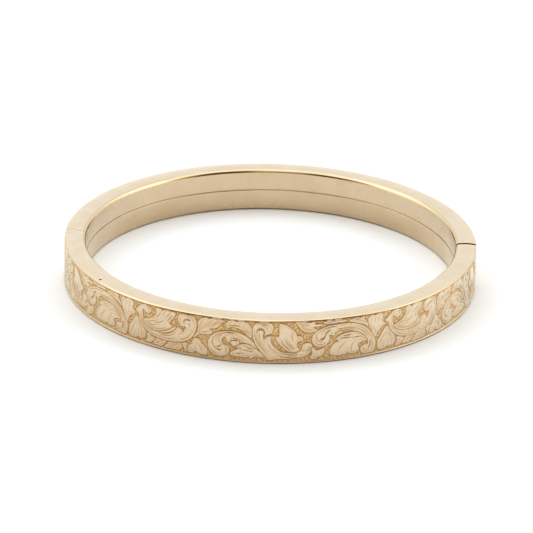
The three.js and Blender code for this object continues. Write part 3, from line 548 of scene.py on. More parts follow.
# Gold finishes.
class Nodes:
    """Short ways of adding and joining shader nodes."""

    def __init__(self, tree):
        self.tree = tree
        tree.nodes.clear()

    def add(self, kind, **settings):
        node = self.tree.nodes.new(kind)
        for key, value in settings.items():
            if key.startswith("in_"):
                name = key[3:]
                socket = node.inputs[int(name)] if name.isdigit() else node.inputs[name]
                if isinstance(value, bpy.types.NodeSocket):
                    self.tree.links.new(value, socket)
                else:
                    socket.default_value = value
            else:
                setattr(node, key, value)
        return node

    def attribute(self, name):
        return self.add("ShaderNodeAttribute", attribute_name=name, attribute_type="GEOMETRY")

    def math(self, operation, a, b=0.0, clamp=False):
        node = self.add("ShaderNodeMath", operation=operation, in_0=a, in_1=b, use_clamp=clamp)
        return node.outputs[0]

    def mix(self, share, a, b):
        node = self.add("ShaderNodeMix", data_type="RGBA", in_0=share, in_6=a, in_7=b)
        return node.outputs[2]

    def stretch(self, value, from_low, from_high, to_low, to_high):
        node = self.add("ShaderNodeMapRange")
        self.tree.links.new(value, node.inputs[0])
        for index, number in enumerate((from_low, from_high, to_low, to_high)):
            node.inputs[1 + index].default_value = number
        return node.outputs[0]

    def noise(self, where, scale, detail=3.0, roughness=0.5):
        node = self.add("ShaderNodeTexNoise")
        self.tree.links.new(where, node.inputs["Vector"])
        node.inputs["Scale"].default_value = scale
        node.inputs["Detail"].default_value = detail
        node.inputs["Roughness"].default_value = roughness
        return node.outputs[0]


def srgb(red, green, blue):
    def linear(value):
        value /= 255
        return value / 12.92 if value <= 0.04045 else ((value + 0.055) / 1.055) ** 2.4

    return (linear(red), linear(green), linear(blue), 1)


def gold(name, pale, warm, rough_low, rough_high, streaks, engraved=False):
    """Worn gold, pale and warmer in patches; if engraved, deeper and matt where it is cut back, with
    painted shade from its tone and edge attributes.
    """
    material = bpy.data.materials.new(name)
    material.use_nodes = True
    n = Nodes(material.node_tree)
    place = n.add("ShaderNodeTexCoord").outputs["Object"]
    band = n.attribute("band").outputs["Vector"]
    tarnish = n.noise(place, TARNISH_SCALE, 4, 0.55)
    mottle = n.noise(place, MOTTLE_SCALE, 2, 0.5)
    patch = n.stretch(tarnish, 0.38, 0.66, 0, 1)
    colour = n.mix(patch, pale, warm)
    rough = n.stretch(mottle, 0.3, 0.7, rough_low, rough_high)
    stretched = n.add("ShaderNodeVectorMath", operation="MULTIPLY", in_0=band, in_1=(0.1, 1.2, 0))
    streak = n.noise(stretched.outputs[0], 1.3, 2, 0.5)
    height = n.math("MULTIPLY", streak, streaks)
    if engraved:
        relief = n.attribute("relief").outputs["Fac"]
        tone = n.attribute("tone").outputs["Fac"]
        edge = n.attribute("edge").outputs["Fac"]
        # The tone attribute deepens the colour: partly the gold's own colour, partly painted shade.
        colour = n.mix(tone, colour, n.mix(patch, DEEP_GOLD_AND_SHADE, DEEP_PATCH_AND_SHADE))
        colour = n.mix(edge, colour, EDGE_GOLD)
        rough = n.math("MULTIPLY", rough, n.stretch(edge, 0, 1, 1, EDGE_POLISH))
        depth = n.add("ShaderNodeValToRGB", in_0=relief)
        stops = depth.color_ramp.elements
        stops[0].position, stops[0].color = GROUND_RAMP[0]
        stops[1].position, stops[1].color = GROUND_RAMP[-1]
        for position, level in GROUND_RAMP[1:-1]:
            stops.new(position).color = level
        sunk = n.stretch(relief, 0.15, 0.85, 1, 0)
        cells = n.add("ShaderNodeTexVoronoi", voronoi_dimensions="2D", in_Vector=band)
        cells.inputs["Scale"].default_value = MATTING_SCALE
        dots = n.stretch(cells.outputs["Distance"], 0.2, 0.5, 1, 0)
        dots = n.math("MULTIPLY", dots, n.stretch(relief, 0.0, 0.3, 1, 0))
        shade = n.mix(dots, depth.outputs[0], MATTING_TINT)
        lines = n.add("ShaderNodeSeparateXYZ", in_0=band).outputs[2]
        shade = n.mix(lines, shade, LINE_TINT)
        # The engraving's tint is weaker where the tone and its painted shade are low, towards the ends.
        shade = n.mix(n.stretch(tone, 0.2, 1, 0.8, 1), (1, 1, 1, 1), shade)
        tint = n.add("ShaderNodeMix", data_type="RGBA", blend_type="MULTIPLY", in_0=1.0)
        n.tree.links.new(colour, tint.inputs[6])
        n.tree.links.new(shade, tint.inputs[7])
        # Edge levels above 1 blend towards brown: painted shade in the seam, at the feet, in the vent and
        # in the clasp split.
        colour = n.mix(n.stretch(edge, 1.1, 1.9, 0, 1), tint.outputs[2], PAINTED_SHADE_BROWN)
        rough = n.math("ADD", rough, n.math("MULTIPLY", sunk, GROUND_ROUGHER))
        height = n.math("SUBTRACT", height, n.math("MULTIPLY", dots, DOT_DEPTH))
    bump = n.add("ShaderNodeBump")
    bump.inputs["Strength"].default_value = BUMP_STRENGTH
    bump.inputs["Distance"].default_value = BUMP_DEPTH * MM
    n.tree.links.new(height, bump.inputs["Height"])
    surface = n.add("ShaderNodeBsdfPrincipled")
    surface.inputs["Metallic"].default_value = 1
    n.tree.links.new(colour, surface.inputs["Base Color"])
    n.tree.links.new(rough, surface.inputs["Roughness"])
    n.tree.links.new(bump.outputs[0], surface.inputs["Normal"])
    output = n.add("ShaderNodeOutputMaterial")
    n.tree.links.new(surface.outputs[0], output.inputs[0])
    return material


PALE_GOLD = srgb(238, 223, 197)
WARM_GOLD = srgb(234, 216, 187)
# Deeper gold for the tone attribute: partly the gold's own colour, partly painted shade.
DEEP_GOLD_AND_SHADE = srgb(206, 182, 150)
DEEP_PATCH_AND_SHADE = srgb(203, 177, 143)
EDGE_GOLD = srgb(217, 196, 157)
# Brown of the painted shade in the seam, at the feet, in the vent and in the clasp split.
PAINTED_SHADE_BROWN = srgb(104, 62, 22)

TARNISH_SCALE = 260
MOTTLE_SCALE = 420
BUMP_STRENGTH = 0.5
BUMP_DEPTH = 0.005
DOT_DEPTH = 2.5
EDGE_POLISH = 0.55
GROUND_ROUGHER = 0.2

# What the colour is multiplied by at each relief: cut-back ground, the slopes, raised surface.
GROUND_RAMP = [
    (0.0, (0.98, 0.84, 0.58, 1)),
    (0.2, (0.98, 0.84, 0.58, 1)),
    (0.5, (0.9, 0.75, 0.5, 1)),
    (0.8, (1, 1, 1, 1)),
]
MATTING_SCALE = 2.8
MATTING_TINT = (0.4, 0.24, 0.09, 1)
LINE_TINT = (0.54, 0.33, 0.12, 1)

sheet_gold = gold("sheet_gold", PALE_GOLD, WARM_GOLD, 0.21, 0.29, 0.3, engraved=True)
fitted_gold = gold("fitted_gold", srgb(232, 208, 168), srgb(218, 186, 138), 0.28, 0.42, 0.6)
barrel_gold = gold("barrel_gold", PALE_GOLD, WARM_GOLD, 0.22, 0.3, 0.3)
spring_gold = gold("spring_gold", srgb(226, 194, 142), srgb(212, 174, 118), 0.22, 0.36, 0.8)


def add_mesh(name, verts, faces, body, nodes, material, attributes=None, sharp=50):
    """A finished piece from vertices in millimetres; it rides on body and stands for the nodes."""
    mesh = bpy.data.meshes.new(name)
    mesh.from_pydata([tuple(v) for v in np.asarray(verts) * MM], [], faces)
    for key, values in (attributes or {}).items():
        values = np.asarray(values, np.float32)
        kind = "FLOAT_VECTOR" if values.ndim == 2 else "FLOAT"
        layer = mesh.attributes.new(key, kind, "POINT")
        layer.data.foreach_set("vector" if values.ndim == 2 else "value", values.ravel())
    tidy_mesh(mesh)
    for polygon in mesh.polygons:
        polygon.use_smooth = True
    mesh.set_sharp_from_angle(angle=math.radians(sharp))
    mesh.materials.append(material)
    obj = bpy.data.objects.new(name, mesh)
    bpy.context.scene.collection.objects.link(obj)
    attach(obj, body)
    if nodes:
        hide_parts(*nodes)
    return obj


def tidy_mesh(mesh):
    work = bmesh.new()
    work.from_mesh(mesh)
    bmesh.ops.remove_doubles(work, verts=work.verts, dist=1e-4 * MM)
    bmesh.ops.dissolve_degenerate(work, edges=work.edges, dist=1e-4 * MM)
    bmesh.ops.recalc_face_normals(work, faces=work.faces)
    work.to_mesh(mesh)
    work.free()


# The two half shells.
FRONT = -1
BACK = 1
FRONT_COLUMNS = 276
BACK_COLUMNS = 300
FINE = 4
SEAM_HALF = 0.08
SEAM_LIP = 0.06
SEAM_DEPTH = 0.1
END_STEPS = [(0, 1), (0.02, 0.5), (0.06, 0.14), (0.12, 0)]
HINGE_EASE = 0.008
CLASP_EASE = 0.15
END_MARGIN = 0.4
DOME_LENGTH = 1.2
HATCH_DEPTH = 0.022
FRONT_ROWS = 69
POCKET_DEPTH = 3.2
CATCH_POCKET_DEPTH = 5.8
NOTCH_DEPTH = 2.68
NOTCH_HALF = 0.68

# Levels of the edge attribute: 1 is rubbed bright, more than 1 is dark brown painted shade.
SEAM_SHADE_LEVEL = 1.45
FOOT_SHADE_LEVEL = 1.85
VENT_SHADE_LEVEL = 2.0
# Share of the outside's deeper colour and painted shade that the plain half gets.
PLAIN_TONE_AND_SHADE = 0.4


def hinge_edge(r):
    """Distance from the split plane at which the shell ends at the hinge, for a radius."""
    edge = np.full_like(r, HINGE_GAP)
    for _ in range(4):
        x = np.sqrt(r * r - edge * edge)
        off = x + HINGE_X
        trough = np.sqrt(np.maximum(RELIEF_RADIUS ** 2 - off ** 2, 0))
        wedge = np.maximum(off, 0) * RELIEF_TAN
        edge = np.maximum(np.maximum(trough, wedge), HINGE_GAP)
    return edge


def corner_arc(cr, cz, radius, start, stop, steps):
    """Points round a corner, without its two ends."""
    angles = np.radians(np.linspace(start, stop, steps + 1)[1:-1])
    return [(cr + radius * math.cos(a), cz + radius * math.sin(a)) for a in angles]


def section_points(wall_heights):
    """The tube's section: outer wall upwards, top inwards, worn wall down, bottom outwards."""
    r0 = INNER_RADIUS
    r1 = OUTER_RADIUS
    outer = OUTER_CORNER
    inner = INNER_CORNER
    points = [(r1, z) for z in wall_heights]
    points += corner_arc(r1 - outer, HEIGHT - outer, outer, 0, 90, 5)
    barrel = -HINGE_X
    top = [r1 - outer, r1 - outer - 0.04, barrel + 0.28]
    top += [barrel - RELIEF_RADIUS * math.sin(math.radians(a)) for a in (0, 15, 30, 45, 60, 72, 82, 90)]
    top += [29.8, r0 + inner + 0.05, r0 + inner]
    points += [(r, HEIGHT) for r in top]
    points += corner_arc(r0 + inner, HEIGHT - inner, inner, 90, 180, 7)
    lip = SEAM_HALF + SEAM_LIP
    for z in (HEIGHT - inner, HEIGHT - inner - 0.05, 5.6, 4.6, SEAM_HEIGHT + lip + 0.02, SEAM_HEIGHT + lip):
        points.append((r0, z))
    points.append((r0 + 0.02, SEAM_HEIGHT + SEAM_HALF))
    points.append((r0 + SEAM_DEPTH, SEAM_HEIGHT + SEAM_HALF * 0.7))
    points.append((r0 + SEAM_DEPTH, SEAM_HEIGHT - SEAM_HALF * 0.7))
    points.append((r0 + 0.02, SEAM_HEIGHT - SEAM_HALF))
    for z in (SEAM_HEIGHT - lip, SEAM_HEIGHT - lip - 0.02, 2.4, 1.4, inner + 0.05, inner):
        points.append((r0, z))
    points += corner_arc(r0 + inner, inner, inner, 180, 270, 7)
    points += [(r, 0) for r in reversed(top)]
    points += corner_arc(r1 - outer, outer, outer, 270, 360, 5)
    return np.array(points)


def section_inward(points):
    """Unit directions pointing into the tube from each point of the section."""
    ahead = np.roll(points, -1, axis=0) - np.roll(points, 1, axis=0)
    inward = np.stack([-ahead[:, 1], ahead[:, 0]], 1)
    return inward / np.maximum(np.linalg.norm(inward, axis=1), 1e-9)[:, None]


def column_places(count, length, extra=()):
    """Shares of the way from the hinge end to the clasp end, closer together at both ends."""
    near_end = [d / length for d, _ in END_STEPS] + [0.22 / length]
    inner = np.linspace(near_end[-1], 1 - near_end[-1], count - 2 * len(near_end) + 2)
    places = near_end[:-1] + list(inner) + [1 - u for u in reversed(near_end[:-1])]
    for u in extra:
        places[int(np.argmin(np.abs(np.array(places) - u)))] = u
    return np.array(places)


def end_inset(places, length):
    """How far the surface is drawn in at each column, for the eased edges of the split."""
    distance = np.minimum(places, 1 - places) * length
    eased = np.interp(distance, [d for d, _ in END_STEPS], [i for _, i in END_STEPS])
    return eased * np.where(places < 0.5, HINGE_EASE, CLASP_EASE)


def place_band(side, r, z, share):
    """Points of a half: radius and height, and share of the way round at that radius."""
    start = np.arcsin(hinge_edge(r) / r)
    stop = math.pi - np.arcsin(CLASP_GAP / r)
    turn = start + share * (stop - start)
    return -r * np.cos(turn), side * r * np.sin(turn), z, turn


def polish_and_painted_shade(points):
    """0 on the flat faces, 1 on the rounded corners, more for the brown painted shade in the seam and at
    the foot.
    """
    r, z = points[:, 0], points[:, 1]
    near_face = (np.abs(z - HEIGHT) < 1e-6) | (np.abs(z) < 1e-6)
    outer_wall = np.abs(r - OUTER_RADIUS) < 1e-6
    worn_wall = np.abs(r - INNER_RADIUS) < 1e-6
    seam = (np.abs(z - SEAM_HEIGHT) < SEAM_HALF + 1e-6) & (r < INNER_RADIUS + SEAM_DEPTH + 1e-6)
    foot = (r > OUTER_RADIUS - OUTER_CORNER) & (z < OUTER_CORNER)
    inner_foot = (r < INNER_RADIUS + INNER_CORNER) & (z < INNER_CORNER / 2)
    corner_polish_and_shade = np.where(seam | inner_foot, SEAM_SHADE_LEVEL, np.where(foot, FOOT_SHADE_LEVEL, 1.0))
    return np.where(near_face | outer_wall | worn_wall, 0.0, corner_polish_and_shade)


def deeper_colour_and_shade(points, turn, engraved):
    """How much deeper the colour is: on the worn wall, and outside, most where it is engraved; partly the
    gold's own colour, partly painted shade, darker towards the foot of the worn wall and towards the middle
    of each half.
    """
    r, z = points
    # Painted shade: the worn wall gets deeper towards its foot.
    shade_to_foot = 0.95 + 0.3 * smooth_step((4 - z) / 2)
    worn = smooth_step((INNER_RADIUS + 0.4 - r) / 0.3) * shade_to_foot * (0.15 + 0.85 * np.sin(turn))
    # Outside, the deeper colour grows towards the middle of the half, partly painted shade.
    facing = np.clip(np.sin(np.clip(1.12 * turn, 0, math.pi)), 0, 1)
    outside = smooth_step((r - OUTER_RADIUS + 0.2) / 0.2) * (0.2 + 0.6 * facing ** 1.5)
    return worn + (outside if engraved else outside * PLAIN_TONE_AND_SHADE)


def share_at(turn, radius):
    """Share of the way from the hinge end to the clasp end at which an angle lies."""
    start = math.asin(hinge_edge(np.array([radius]))[0] / radius)
    stop = math.pi - math.asin(CLASP_GAP / radius)
    return (turn - start) / (stop - start)


def crown(r):
    """The top face is very slightly arched across."""
    across = (r - (OUTER_RADIUS + INNER_RADIUS) / 2) / (WALL_DEPTH / 2)
    return -TOP_CROWN * across ** 2


def half_shell(name, side, node, columns, wall_heights, engraved, pockets, notch=None):
    """One half of the tube: outside, eased ends, and the open pocket inside each end."""
    section = section_points(wall_heights)
    inward = section_inward(section)
    across = np.concatenate([[0], np.cumsum(np.linalg.norm(np.diff(section, axis=0), axis=1))])
    walls = len(wall_heights)
    loop = len(section)
    notch_share = None
    if notch:
        notch_share = share_at(math.pi - math.asin(notch["depth"] / OUTER_RADIUS), OUTER_RADIUS)
    places = column_places(columns, HALF_LENGTH, [notch_share] if notch else [])
    columns = len(places) - 1
    split = FINE if engraved else 1
    fine = np.interp(np.arange(columns * split + 1) / split, np.arange(columns + 1), places)
    verts = []
    bands = []
    reliefs = []
    tones = []
    edges = []

    def add_grid(shares, points, push, arcs, wall):
        """Adds a grid of points, shares by section points, and returns its vertex numbers."""
        share = np.repeat(shares, len(points))
        r = np.tile(points[:, 0], len(shares))
        z = np.tile(points[:, 1], len(shares))
        inset = end_inset(share, HALF_LENGTH) * push
        x, y, z, turn = place_band(side, r, z, share)
        to_end = np.minimum(share, 1 - share) * HALF_LENGTH
        relief = np.ones_like(r)
        lines = np.zeros_like(r)
        polish_and_shade = np.maximum(np.tile(polish_and_painted_shade(points), len(shares)), smooth_step((0.1 - to_end) / 0.05))
        if wall:
            relief, lines = ornament(OUTER_RADIUS * turn, z)
            margin = smooth_step((END_MARGIN - to_end) / 0.1)
            relief = np.maximum(relief, margin)
            lines = lines * (1 - margin)
            sunk = 1 - relief
            hatch = ground_texture(OUTER_RADIUS * turn, z)
            inset = inset + sunk * (ENGRAVING_DEPTH - HATCH_DEPTH * hatch)
            relief = relief + sunk * np.clip(0.06 + 0.06 * hatch, 0, 0.12)
        # On the plain half the last bit before the clasp is painted brown, as painted shade in the split.
        if push and not engraved:
            polish_and_shade = polish_and_shade + smooth_step((share - 1) * HALF_LENGTH / 0.08 + 1)
        if not push:
            relief = relief * 0.3
            polish_and_shade = polish_and_shade * 0
        inner = np.tile(inward[arcs], (len(shares), 1))
        moved = r + inner[:, 0] * inset
        x *= moved / r
        y *= moved / r
        z = z + inner[:, 1] * inset
        top = z > HEIGHT - INNER_CORNER
        domed = 1 + CLASP_DOME * smooth_step((share - 1) * HALF_LENGTH / DOME_LENGTH + 1)
        z = z + np.where(top & (push > 0), crown(r) * domed, 0)
        first = sum(len(v) for v in verts)
        verts.append(np.stack([x, y, z], 1))
        bands.append(np.stack([OUTER_RADIUS * turn, np.tile(across[arcs], len(shares)), lines], 1))
        reliefs.append(relief)
        tones.append(deeper_colour_and_shade((r, z), turn, engraved) if push else 0 * r)
        edges.append(polish_and_shade)
        return first + np.arange(len(r)).reshape(len(shares), len(points))

    wall = add_grid(fine, section[:walls], 1, np.arange(walls), engraved)
    rest = add_grid(places, section[walls:], 1, np.arange(walls, loop), False)
    around = np.concatenate([wall[::split], rest], 1)
    faces = []
    notch_rows = (-1, -1)
    notch_column = columns + 1
    if notch:
        notch_rows = tuple(int(np.argmin(np.abs(wall_heights - z))) for z in notch["heights"])
        notch_column = int(np.argmin(np.abs(places - notch_share)))

    def in_notch(column, row):
        return column >= notch_column and notch_rows[0] <= row < notch_rows[1]

    for f in range(len(fine) - 1):
        for k in range(walls - 1):
            if not in_notch(f // split, k):
                faces.append((wall[f, k], wall[f + 1, k], wall[f + 1, k + 1], wall[f, k + 1]))
    vent_column, vent_row = -9, 0
    if engraved:
        vent_column = int(np.searchsorted(places, share_at(VENT_TURN, VENT_PLACE))) - 2
        vent_row = walls + 5
    for c in range(columns):
        edge_low = [wall[f, 0] for f in range(c * split, (c + 1) * split + 1)]
        edge_high = [wall[f, -1] for f in range(c * split, (c + 1) * split + 1)]
        faces.append((around[c, walls], *edge_high, around[c + 1, walls]))
        faces.append((around[c, -1], *edge_low, around[c + 1, -1]))
        for j in range(walls, loop - 1):
            if 0 <= c - vent_column < 3 and 0 <= j - vent_row < 3:
                continue
            faces.append((around[c, j], around[c + 1, j], around[c + 1, j + 1], around[c, j + 1]))
    if engraved:
        layers = (bands, reliefs, tones, edges)
        vent_faces(verts, layers, faces, around, vent_column, vent_row)

    cavity = np.stack(
        [
            np.clip(section[:, 0], CAVITY_INNER, CAVITY_OUTER),
            np.clip(section[:, 1], SHEET, HEIGHT - SHEET),
        ],
        1,
    )
    for at_clasp, depth in enumerate(pockets):
        count = int(np.searchsorted(places, depth / HALF_LENGTH)) + 1
        picked = list(range(count))
        if at_clasp:
            picked = [columns - c for c in picked]
        inside = add_grid(places[picked], cavity, 0, np.arange(loop), False)
        edge = around[picked[0]]
        for j in range(loop):
            after = (j + 1) % loop
            if at_clasp and in_notch(columns, j):
                continue
            faces.append((edge[j], edge[after], inside[0, after], inside[0, j]))
        for p in range(count - 1):
            for j in range(loop):
                after = (j + 1) % loop
                if at_clasp and in_notch(min(picked[p], picked[p + 1]), j):
                    continue
                faces.append((inside[p, j], inside[p, after], inside[p + 1, after], inside[p + 1, j]))
        faces.append(tuple(inside[-1]))
        if notch and at_clasp:
            for row in notch_rows:
                for p in range(columns - notch_column):
                    a = around[picked[p], row]
                    b = around[picked[p + 1], row]
                    faces.append((a, b, inside[p + 1, row], inside[p, row]))
            end = columns - notch_column
            for row in range(*notch_rows):
                a = around[notch_column, row]
                b = around[notch_column, row + 1]
                faces.append((a, b, inside[end, row + 1], inside[end, row]))
    return add_mesh(
        name,
        np.concatenate(verts),
        [tuple(int(i) for i in face) for face in faces],
        node.split("_")[0],
        [node],
        sheet_gold,
        {
            "band": np.concatenate(bands),
            "relief": np.concatenate(reliefs),
            "tone": np.concatenate(tones),
            "edge": np.concatenate(edges),
        },
        sharp=62,
    )


# The vent hole, pierced in the top face of the front half.
VENT_RADIUS = 0.21
VENT_TURN = math.radians(37)
VENT_PLACE = OUTER_RADIUS - 0.7
VENT_DEPTH = 1.2


def vent_faces(verts, layers, faces, around, column, row):
    """Fills the square left round the vent, and adds the hole's rounded lip and its bore."""
    rim = [around[column + i, row] for i in range(3)]
    rim += [around[column + 3, row + j] for j in range(3)]
    rim += [around[column + 3 - i, row + 3] for i in range(3)]
    rim += [around[column, row + 3 - j] for j in range(3)]
    bands, reliefs, tones, edges = layers
    points = np.concatenate(verts)
    places = points[rim]
    centre = np.array([-VENT_PLACE * math.cos(VENT_TURN), -VENT_PLACE * math.sin(VENT_TURN)])
    angles = np.arctan2(places[:, 1] - centre[1], places[:, 0] - centre[0])
    top = places[:, 2].mean()
    previous = rim
    for radius, drop in ((1.25, 0.0), (1.05, 0.02), (0.95, 0.08), (0.95, VENT_DEPTH)):
        first = sum(len(v) for v in verts)
        x = centre[0] + VENT_RADIUS * radius * np.cos(angles)
        y = centre[1] + VENT_RADIUS * radius * np.sin(angles)
        verts.append(np.stack([x, y, np.full(12, top - drop)], 1))
        bands.append(np.concatenate(bands)[rim])
        # Below the lip the bore is painted with the ground's deeper tint and the brown painted shade.
        reliefs.append(np.full(12, 1.0 if drop < 0.01 else 0.3))
        tones.append(np.zeros(12))
        edges.append(np.full(12, 0.0 if drop < 0.01 else VENT_SHADE_LEVEL))
        ring = list(range(first, first + 12))
        for k in range(12):
            after = (k + 1) % 12
            faces.append((previous[k], previous[after], ring[after], ring[k]))
        previous = ring
    faces.append(tuple(previous))


front_heights = np.linspace(OUTER_CORNER, HEIGHT - OUTER_CORNER, FRONT_ROWS)
half_shell(
    "front_half_engraved_shell",
    FRONT,
    "front_band_shell",
    FRONT_COLUMNS,
    front_heights,
    True,
    (POCKET_DEPTH, POCKET_DEPTH),
)
NOTCH_LOW = SEAM_HEIGHT - NOTCH_HALF
NOTCH_HIGH = SEAM_HEIGHT + NOTCH_HALF
back_heights = np.array(
    [OUTER_CORNER, 0.9, 1.6, 2.3, NOTCH_LOW, 3.5, NOTCH_HIGH, 4.7, 5.4, 6.1, HEIGHT - OUTER_CORNER]
)
half_shell(
    "back_half_plain_shell",
    BACK,
    "back_band_shell",
    BACK_COLUMNS,
    back_heights,
    False,
    (POCKET_DEPTH, CATCH_POCKET_DEPTH),
    {"depth": NOTCH_DEPTH, "heights": (NOTCH_LOW, NOTCH_HIGH)},
)


# Hinge barrel.
def lathe(name, profile, x, body, nodes, material, steps=56):
    """Turns a closed (radius, height) profile about an upright axis at x."""
    angles = np.arange(steps) * 2 * math.pi / steps
    verts = [(x + r * math.cos(a), r * math.sin(a), z) for a in angles for r, z in profile]
    count = len(profile)
    faces = []
    for s in range(steps):
        after = (s + 1) % steps
        for k in range(count):
            up = (k + 1) % count
            faces.append((s * count + k, after * count + k, after * count + up, s * count + up))
    band = [(a * BARREL_RADIUS, z, 0) for a in angles for _, z in profile]
    return add_mesh(name, under_faces(verts), faces, body, nodes, material, {"band": band}, 40)


def under_faces(verts):
    """Keeps the barrel's ends within the band's rounded outline, so that they lie flush."""
    verts = np.array(verts)
    r = np.hypot(verts[:, 0], verts[:, 1])
    beyond = np.clip(r - OUTER_RADIUS + OUTER_CORNER, 0, OUTER_CORNER)
    drop = OUTER_CORNER - np.sqrt(OUTER_CORNER ** 2 - beyond ** 2)
    verts[:, 2] = np.clip(verts[:, 2], drop, HEIGHT + crown(r) - drop)
    return verts


def knuckle(node, body):
    low, high = (corner.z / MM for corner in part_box(node))
    bore = PIN_RADIUS + 0.03
    ease = 0.05
    flush_low = low < 0.01
    flush_high = high > HEIGHT - 0.01
    ease_low = 0.005 if flush_low else ease
    ease_high = 0.005 if flush_high else ease
    levels = np.linspace(low + ease_low, high - ease_high, 6)
    rings = [(BARREL_RADIUS, z) for z in levels]
    ends = [BARREL_RADIUS - ease_high, 0.78, 0.7, 0.55, bore + 0.02]
    rings += [(r, high) for r in ends]
    rings += [(bore, high - 0.02), (bore, low + 0.02)]
    rings += [(r, low) for r in reversed(ends[1:])]
    rings += [(BARREL_RADIUS - ease_low, low)]
    return lathe(node + "_rolled", rings, HINGE_X, body, [node], barrel_gold)


for body_name, names in KNUCKLES_BY_BODY.items():
    for node_name in names:
        knuckle(node_name, body_name)


def flush_pin():
    low, high = PIN_LOW.z / MM, PIN_HIGH.z / MM
    tiny = 0.004
    profile = [(tiny, low), (PIN_RADIUS * 0.9, low), (PIN_RADIUS, low + 0.03)]
    profile += [(PIN_RADIUS, high - 0.03), (PIN_RADIUS * 0.9, high), (tiny, high)]
    return lathe("hinge_pin_flush", profile, HINGE_X, "back", ["hinge_pin"], barrel_gold)


flush_pin()


# Small fitted pieces: the CAD shape with its sharp edges eased.
def eased(node, name, body, slot, material, width):
    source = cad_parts[node]
    mesh = source.data.copy()
    work = bmesh.new()
    work.from_mesh(mesh)
    bmesh.ops.remove_doubles(work, verts=work.verts, dist=1e-3 * MM)
    bmesh.ops.dissolve_limit(work, angle_limit=math.radians(1), verts=work.verts, edges=work.edges)
    sharp = [e for e in work.edges if len(e.link_faces) == 2 and e.calc_face_angle(0) > math.radians(35)]
    bmesh.ops.bevel(
        work, geom=sharp, offset=width * MM, segments=2, profile=0.6, affect="EDGES", clamp_overlap=True
    )
    verts = [np.array(v.co) / MM for v in work.verts]
    for index, vertex in enumerate(work.verts):
        vertex.index = index
    faces = [tuple(v.index for v in face.verts) for face in work.faces]
    work.free()
    verts = np.array(verts)
    band = np.stack([verts[:, 1], verts[:, 2], 0 * verts[:, 0]], 1)
    return add_mesh(name, verts, faces, body, [node], material, {"band": band}, sharp=40)


PLATE_EASE = 0.03
LEAF_EASE = 0.04
PUSH_EASE = 0.035

for node_name, piece_name, body_name in (
    ("front_hinge_plate", "front_hinge_end_plate", "front"),
    ("back_hinge_plate", "back_hinge_end_plate", "back"),
    ("front_clasp_plate", "front_clasp_end_plate", "front"),
    ("catch_plate", "catch_end_plate", "back"),
    ("catch_box", "catch_channel", "back"),
):
    eased(node_name, piece_name, body_name, "fitted_gold", fitted_gold, PLATE_EASE)

for node_name, piece_name, body_name, width in (
    ("tongue_fixed_leaf", "tongue_fixed_strip", "front", LEAF_EASE),
    ("tongue_sprung_leaf", "tongue_sprung_strip", "tongue", LEAF_EASE),
    ("push_piece", "push_piece_grooved", "tongue", PUSH_EASE),
):
    eased(node_name, piece_name, body_name, "spring_gold", spring_gold, width)


# Table and light.
def plain_material(name, colour, roughness):
    material = bpy.data.materials.new(name)
    material.use_nodes = True
    n = Nodes(material.node_tree)
    surface = n.add("ShaderNodeBsdfPrincipled")
    surface.inputs["Base Color"].default_value = colour
    surface.inputs["Roughness"].default_value = roughness
    surface.inputs["Specular IOR Level"].default_value = 0.1
    output = n.add("ShaderNodeOutputMaterial")
    n.tree.links.new(surface.outputs[0], output.inputs[0])
    return material


def add_floor():
    reach = 2.0
    mesh = bpy.data.meshes.new("table")
    corners = [(-reach, -reach, 0), (reach, -reach, 0), (reach, reach, 0), (-reach, reach, 0)]
    mesh.from_pydata(corners, [], [(0, 1, 2, 3)])
    mesh.materials.append(plain_material("white_table", (0.95, 0.985, 1.0, 1), 0.9))
    obj = bpy.data.objects.new("table", mesh)
    bpy.context.scene.collection.objects.link(obj)
    obj.location.z = -0.02 * MM


def add_area(name, place, size, power, colour=(1, 1, 1)):
    light = bpy.data.lights.new(name, "AREA")
    light.shape = "DISK"
    light.size = size
    light.energy = power
    light.color = colour
    obj = bpy.data.objects.new(name, light)
    bpy.context.scene.collection.objects.link(obj)
    obj.location = place
    obj.rotation_euler = (-Vector(place)).to_track_quat("-Z", "Y").to_euler()
    obj.visible_camera = False
    return obj


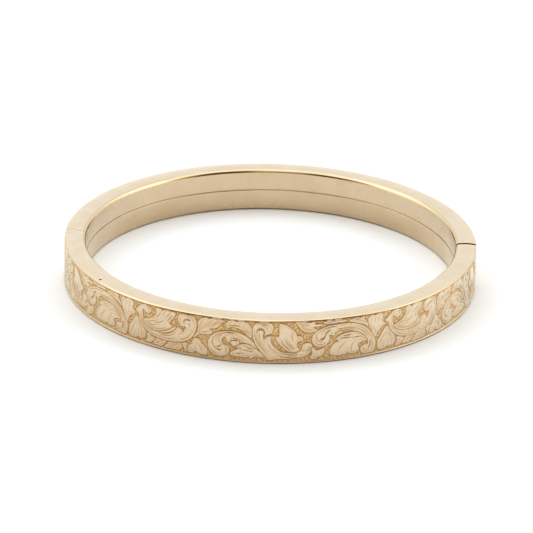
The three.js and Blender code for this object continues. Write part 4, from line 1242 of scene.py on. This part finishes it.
# Panels of the studio round the table: compass direction, tint, level, and height (sine).
# Direction 0 is towards the camera.
WHITE = (1, 1, 1)
SHADE = (0.15, 0.085, 0.03)
WARM = (0.75, 0.62, 0.46)
STUDIO = [
    (-180, WHITE, 0.94, 0.7),
    (-145, WHITE, 1.2, 0.8),
    (-110, WHITE, 1.8, 0.85),
    (-76, WHITE, 1.6, 0.8),
    (-60, WARM, 0.9, 0.85),
    (-46, SHADE, 1.0, 0.92),
    (-30, SHADE, 1.0, 0.92),
    (-16, WARM, 0.7, 0.85),
    (8, WARM, 0.8, 0.85),
    (22, SHADE, 1.0, 0.95),
    (50, SHADE, 1.0, 0.95),
    (64, WARM, 1.1, 0.92),
    (80, WHITE, 1.9, 0.85),
    (110, WHITE, 2.0, 0.85),
    (145, WHITE, 1.2, 0.8),
    (180, WHITE, 0.94, 0.7),
]
OVERHEAD = (1.0, 0.99, 1.0, 1)
NEAR_TABLE = (1.1, 1.08, 1.05, 1)
STUDIO_STRENGTH = 1.0


def add_studio():
    world = bpy.data.worlds.new("studio")
    world.use_nodes = True
    n = Nodes(world.node_tree)
    direction = n.add("ShaderNodeTexCoord").outputs["Generated"]
    parts = n.add("ShaderNodeSeparateXYZ", in_0=direction)
    east, north, up = parts.outputs
    compass = n.math("ARCTAN2", east, n.math("MULTIPLY", north, -1.0))
    turn = n.stretch(compass, -math.pi, math.pi, 0, 1)
    ramp = n.add("ShaderNodeValToRGB", in_0=turn)
    ramp.color_ramp.interpolation = "EASE"
    stops = ramp.color_ramp.elements
    while len(stops) > 1:
        stops.remove(stops[-1])
    for index, (degrees, tint, level, height) in enumerate(STUDIO):
        stop = stops[0] if index == 0 else stops.new((degrees + 180) / 360)
        stop.position = (degrees + 180) / 360
        stop.color = (*(level * part for part in tint), height)
    above = n.math("SUBTRACT", up, ramp.outputs[1])
    overhead = n.stretch(above, -0.08, 0.08, 0, 1)
    colour = n.mix(overhead, ramp.outputs[0], OVERHEAD)
    colour = n.mix(n.stretch(up, 0.27, 0.33, 1, 0), colour, NEAR_TABLE)
    background = n.add("ShaderNodeBackground", in_0=colour)
    background.inputs["Strength"].default_value = STUDIO_STRENGTH
    output = n.add("ShaderNodeOutputWorld")
    n.tree.links.new(background.outputs[0], output.inputs[0])
    bpy.context.scene.world = world


add_floor()
add_studio()
add_area("overhead", (-0.3, 0.1, 1.4), 2.2, 8.6, (0.93, 0.97, 1.0))
bpy.context.scene.view_settings.view_transform = "Standard"
bpy.context.scene.view_settings.look = "None"
